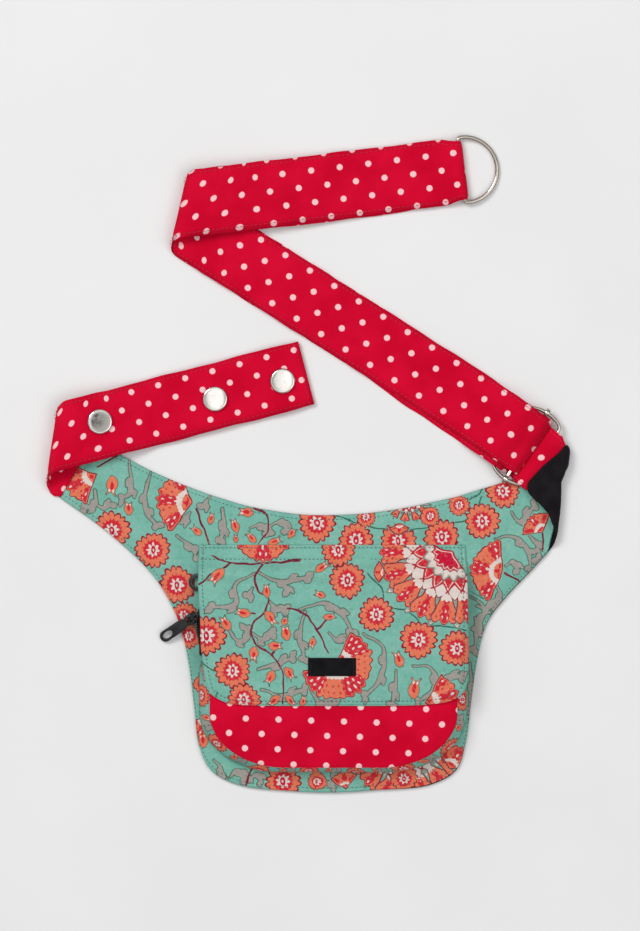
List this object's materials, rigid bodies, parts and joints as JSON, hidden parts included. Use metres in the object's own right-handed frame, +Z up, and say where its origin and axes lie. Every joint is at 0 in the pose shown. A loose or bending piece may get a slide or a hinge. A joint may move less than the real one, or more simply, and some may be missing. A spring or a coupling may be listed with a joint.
{
  "type": "belt bag",
  "caption": "Cloth belt bag in turquoise floral print with a red polka-dot front pocket under a flap, red dotted straps, a D-ring and a wire strap slide.",
  "frame": {"origin": "middle of the bounding box's underside, on the surface the bag lies on", "axes": "+Z up from the surface, +Y up the bag's front towards its straps, +X to the viewer's right"},
  "size_m": [0.3156, 0.3984, 0.0191],
  "materials": {
    "black_cloth": "matt woven",
    "print_cloth": "matt printed cotton",
    "red_cloth": "matt dotted cotton",
    "nickel": "polished nickel plate",
    "black_metal": "satin black"
  },
  "bodies": {
    "bag": {"back_panel": "black_cloth", "front_panel": "print_cloth", "pocket_gusset": "print_cloth", "pocket_zip_tape_base": "black_cloth", "pocket_zip_tape_front": "black_cloth", "pocket_front": "red_cloth", "flap": "print_cloth", "label": "black_cloth", "pocket_zip_slider": "black_metal", "body_zip_slider": "black_metal", "body_zip_tape": "black_cloth", "snap_1": "nickel", "snap_2": "nickel", "snap_3": "nickel", "snap_strap": "red_cloth", "adjust_strap": "red_cloth", "slide_frame": "nickel", "slide_bar": "nickel"},
    "pocket_zip_pull": {"pocket_zip_pull": "black_metal"},
    "body_zip_pull": {"body_zip_pull": "black_metal"},
    "d_ring": {"d_ring": "nickel"}
  },
  "joints": [
    {"name": "pocket_zip_pull_hinge", "type": "hinge", "parent": "bag", "child": "pocket_zip_pull", "pos_m": [-0.06885, -0.0934, 0.0082], "axis": [-0.5592, 0.829, 0], "range_deg": [0, 110]},
    {"name": "body_zip_pull_hinge", "type": "hinge", "parent": "bag", "child": "body_zip_pull", "pos_m": [-0.05225, -0.0717, 0.008], "axis": [0, 1, 0], "range_deg": [0, 6]},
    {"name": "d_ring_hinge", "type": "hinge", "parent": "bag", "child": "d_ring", "pos_m": [0.09348, 0.17765, 0.0033], "axis": [0.1219, -0.9925, 0], "range_deg": [-140, 140]}
  ]
}
